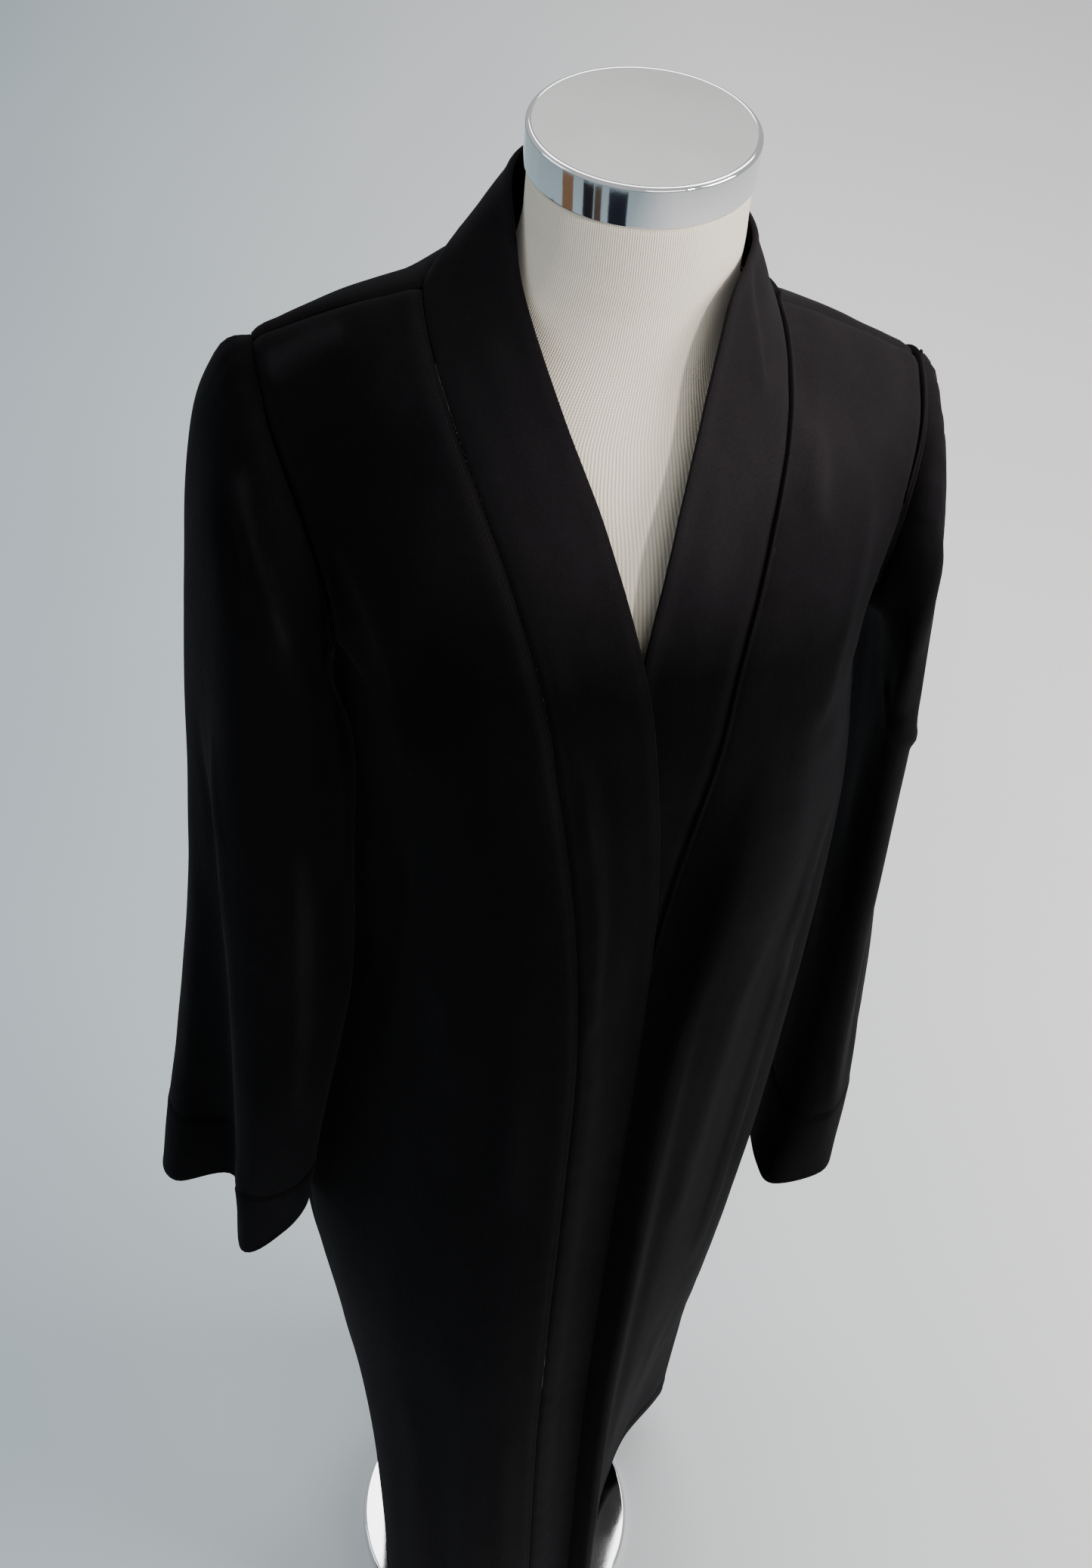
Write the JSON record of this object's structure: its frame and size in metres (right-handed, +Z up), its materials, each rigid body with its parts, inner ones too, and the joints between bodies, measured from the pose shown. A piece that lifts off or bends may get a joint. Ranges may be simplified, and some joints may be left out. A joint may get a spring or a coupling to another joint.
{
  "type": "abaya on a dress form",
  "caption": "Long black velvet open-front abaya with a shawl band and straight set-in sleeves, on a limbless jersey-covered dress form with a chrome neck cap, post and round foot.",
  "frame": {"origin": "centre of the whole part's box, on the floor under the foot", "axes": "+Z up, -Y the way the wearer faces, +X towards the wearer's left hand"},
  "size_m": [0.5432, 0.3252, 1.58],
  "materials": {
    "velvet": "short cut pile with a soft sheen",
    "jersey": "matte fine rib knit",
    "chrome": "polished"
  },
  "bodies": {
    "root": {"right_front": "velvet", "left_front": "velvet", "back": "velvet", "band_right": "velvet", "band_left": "velvet", "sleeve_right": "velvet", "sleeve_left": "velvet", "form_body": "jersey", "form_neck_cap": "chrome", "form_pole": "chrome", "form_base": "chrome"}
  },
  "joints": []
}
